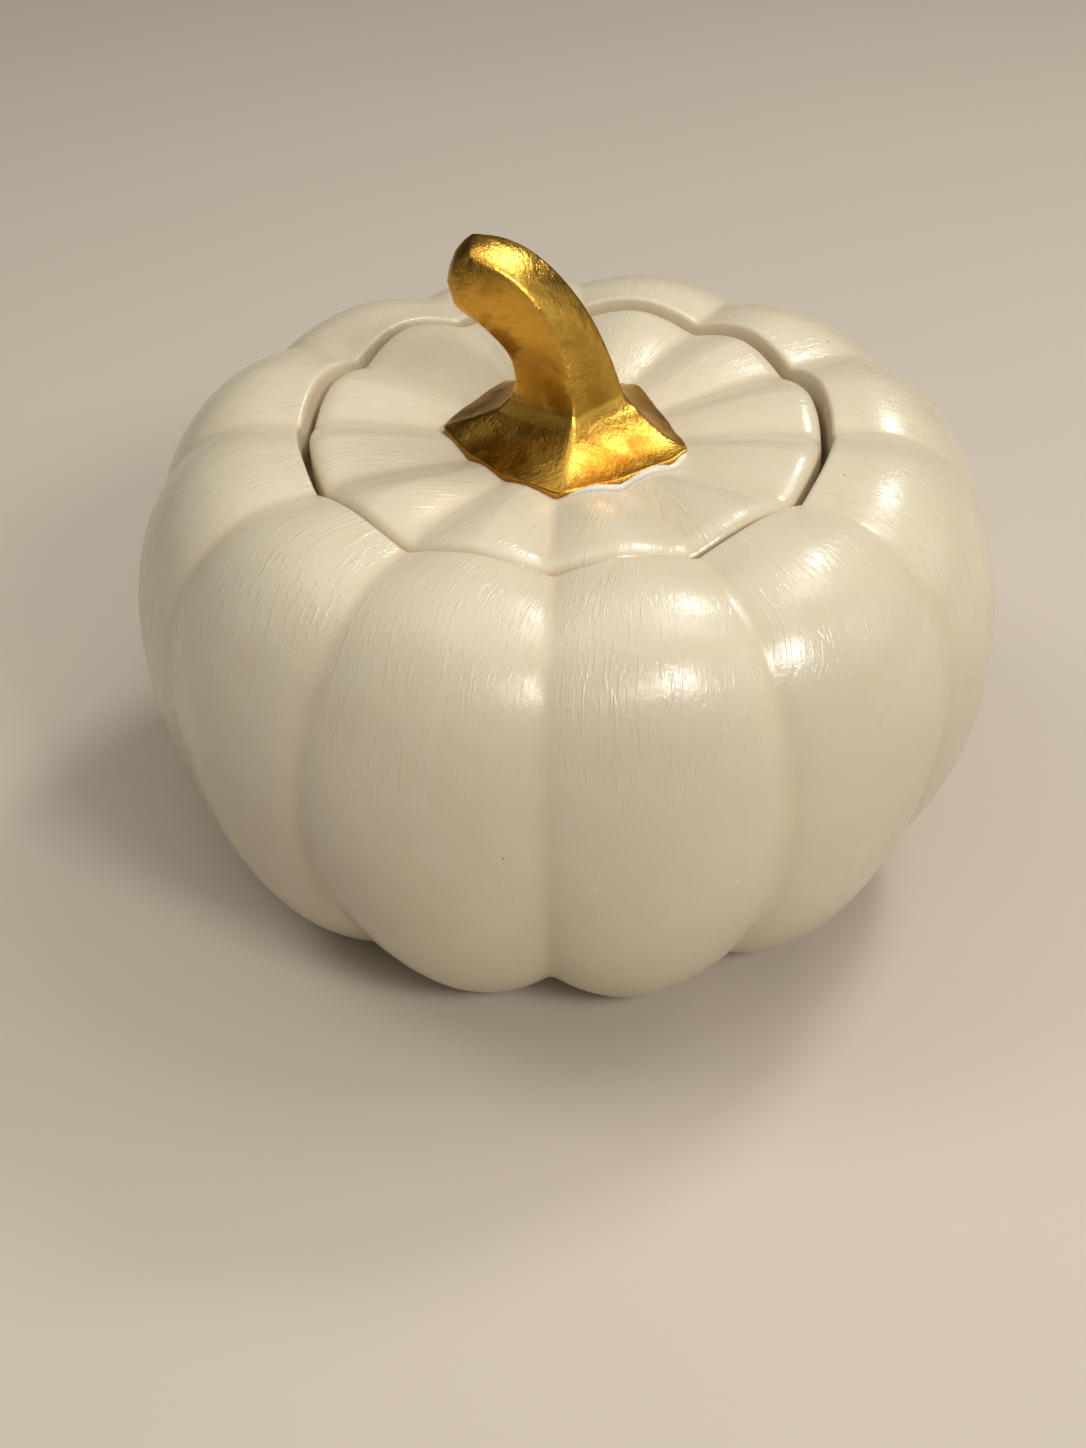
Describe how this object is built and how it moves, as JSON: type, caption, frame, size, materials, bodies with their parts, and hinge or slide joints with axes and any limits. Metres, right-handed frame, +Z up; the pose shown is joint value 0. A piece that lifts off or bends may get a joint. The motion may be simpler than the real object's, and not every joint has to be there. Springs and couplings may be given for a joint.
{
  "type": "lidded pumpkin jar",
  "caption": "Round lobed ceramic jar shaped like a pumpkin, with a recessed fluted lid lifted by a gilt bent stem.",
  "frame": {"origin": "centre of the flat base, on the surface that the jar stands on", "axes": "+Z up along the jar's axis; the stem bends towards -X; the picture looks towards +Y and down"},
  "size_m": [0.1588, 0.1588, 0.1236],
  "materials": {
    "cream_glaze": "satin",
    "gilt": "gloss"
  },
  "bodies": {
    "root": {"bowl": "cream_glaze", "lid": "cream_glaze", "stem": "gilt"}
  },
  "joints": []
}
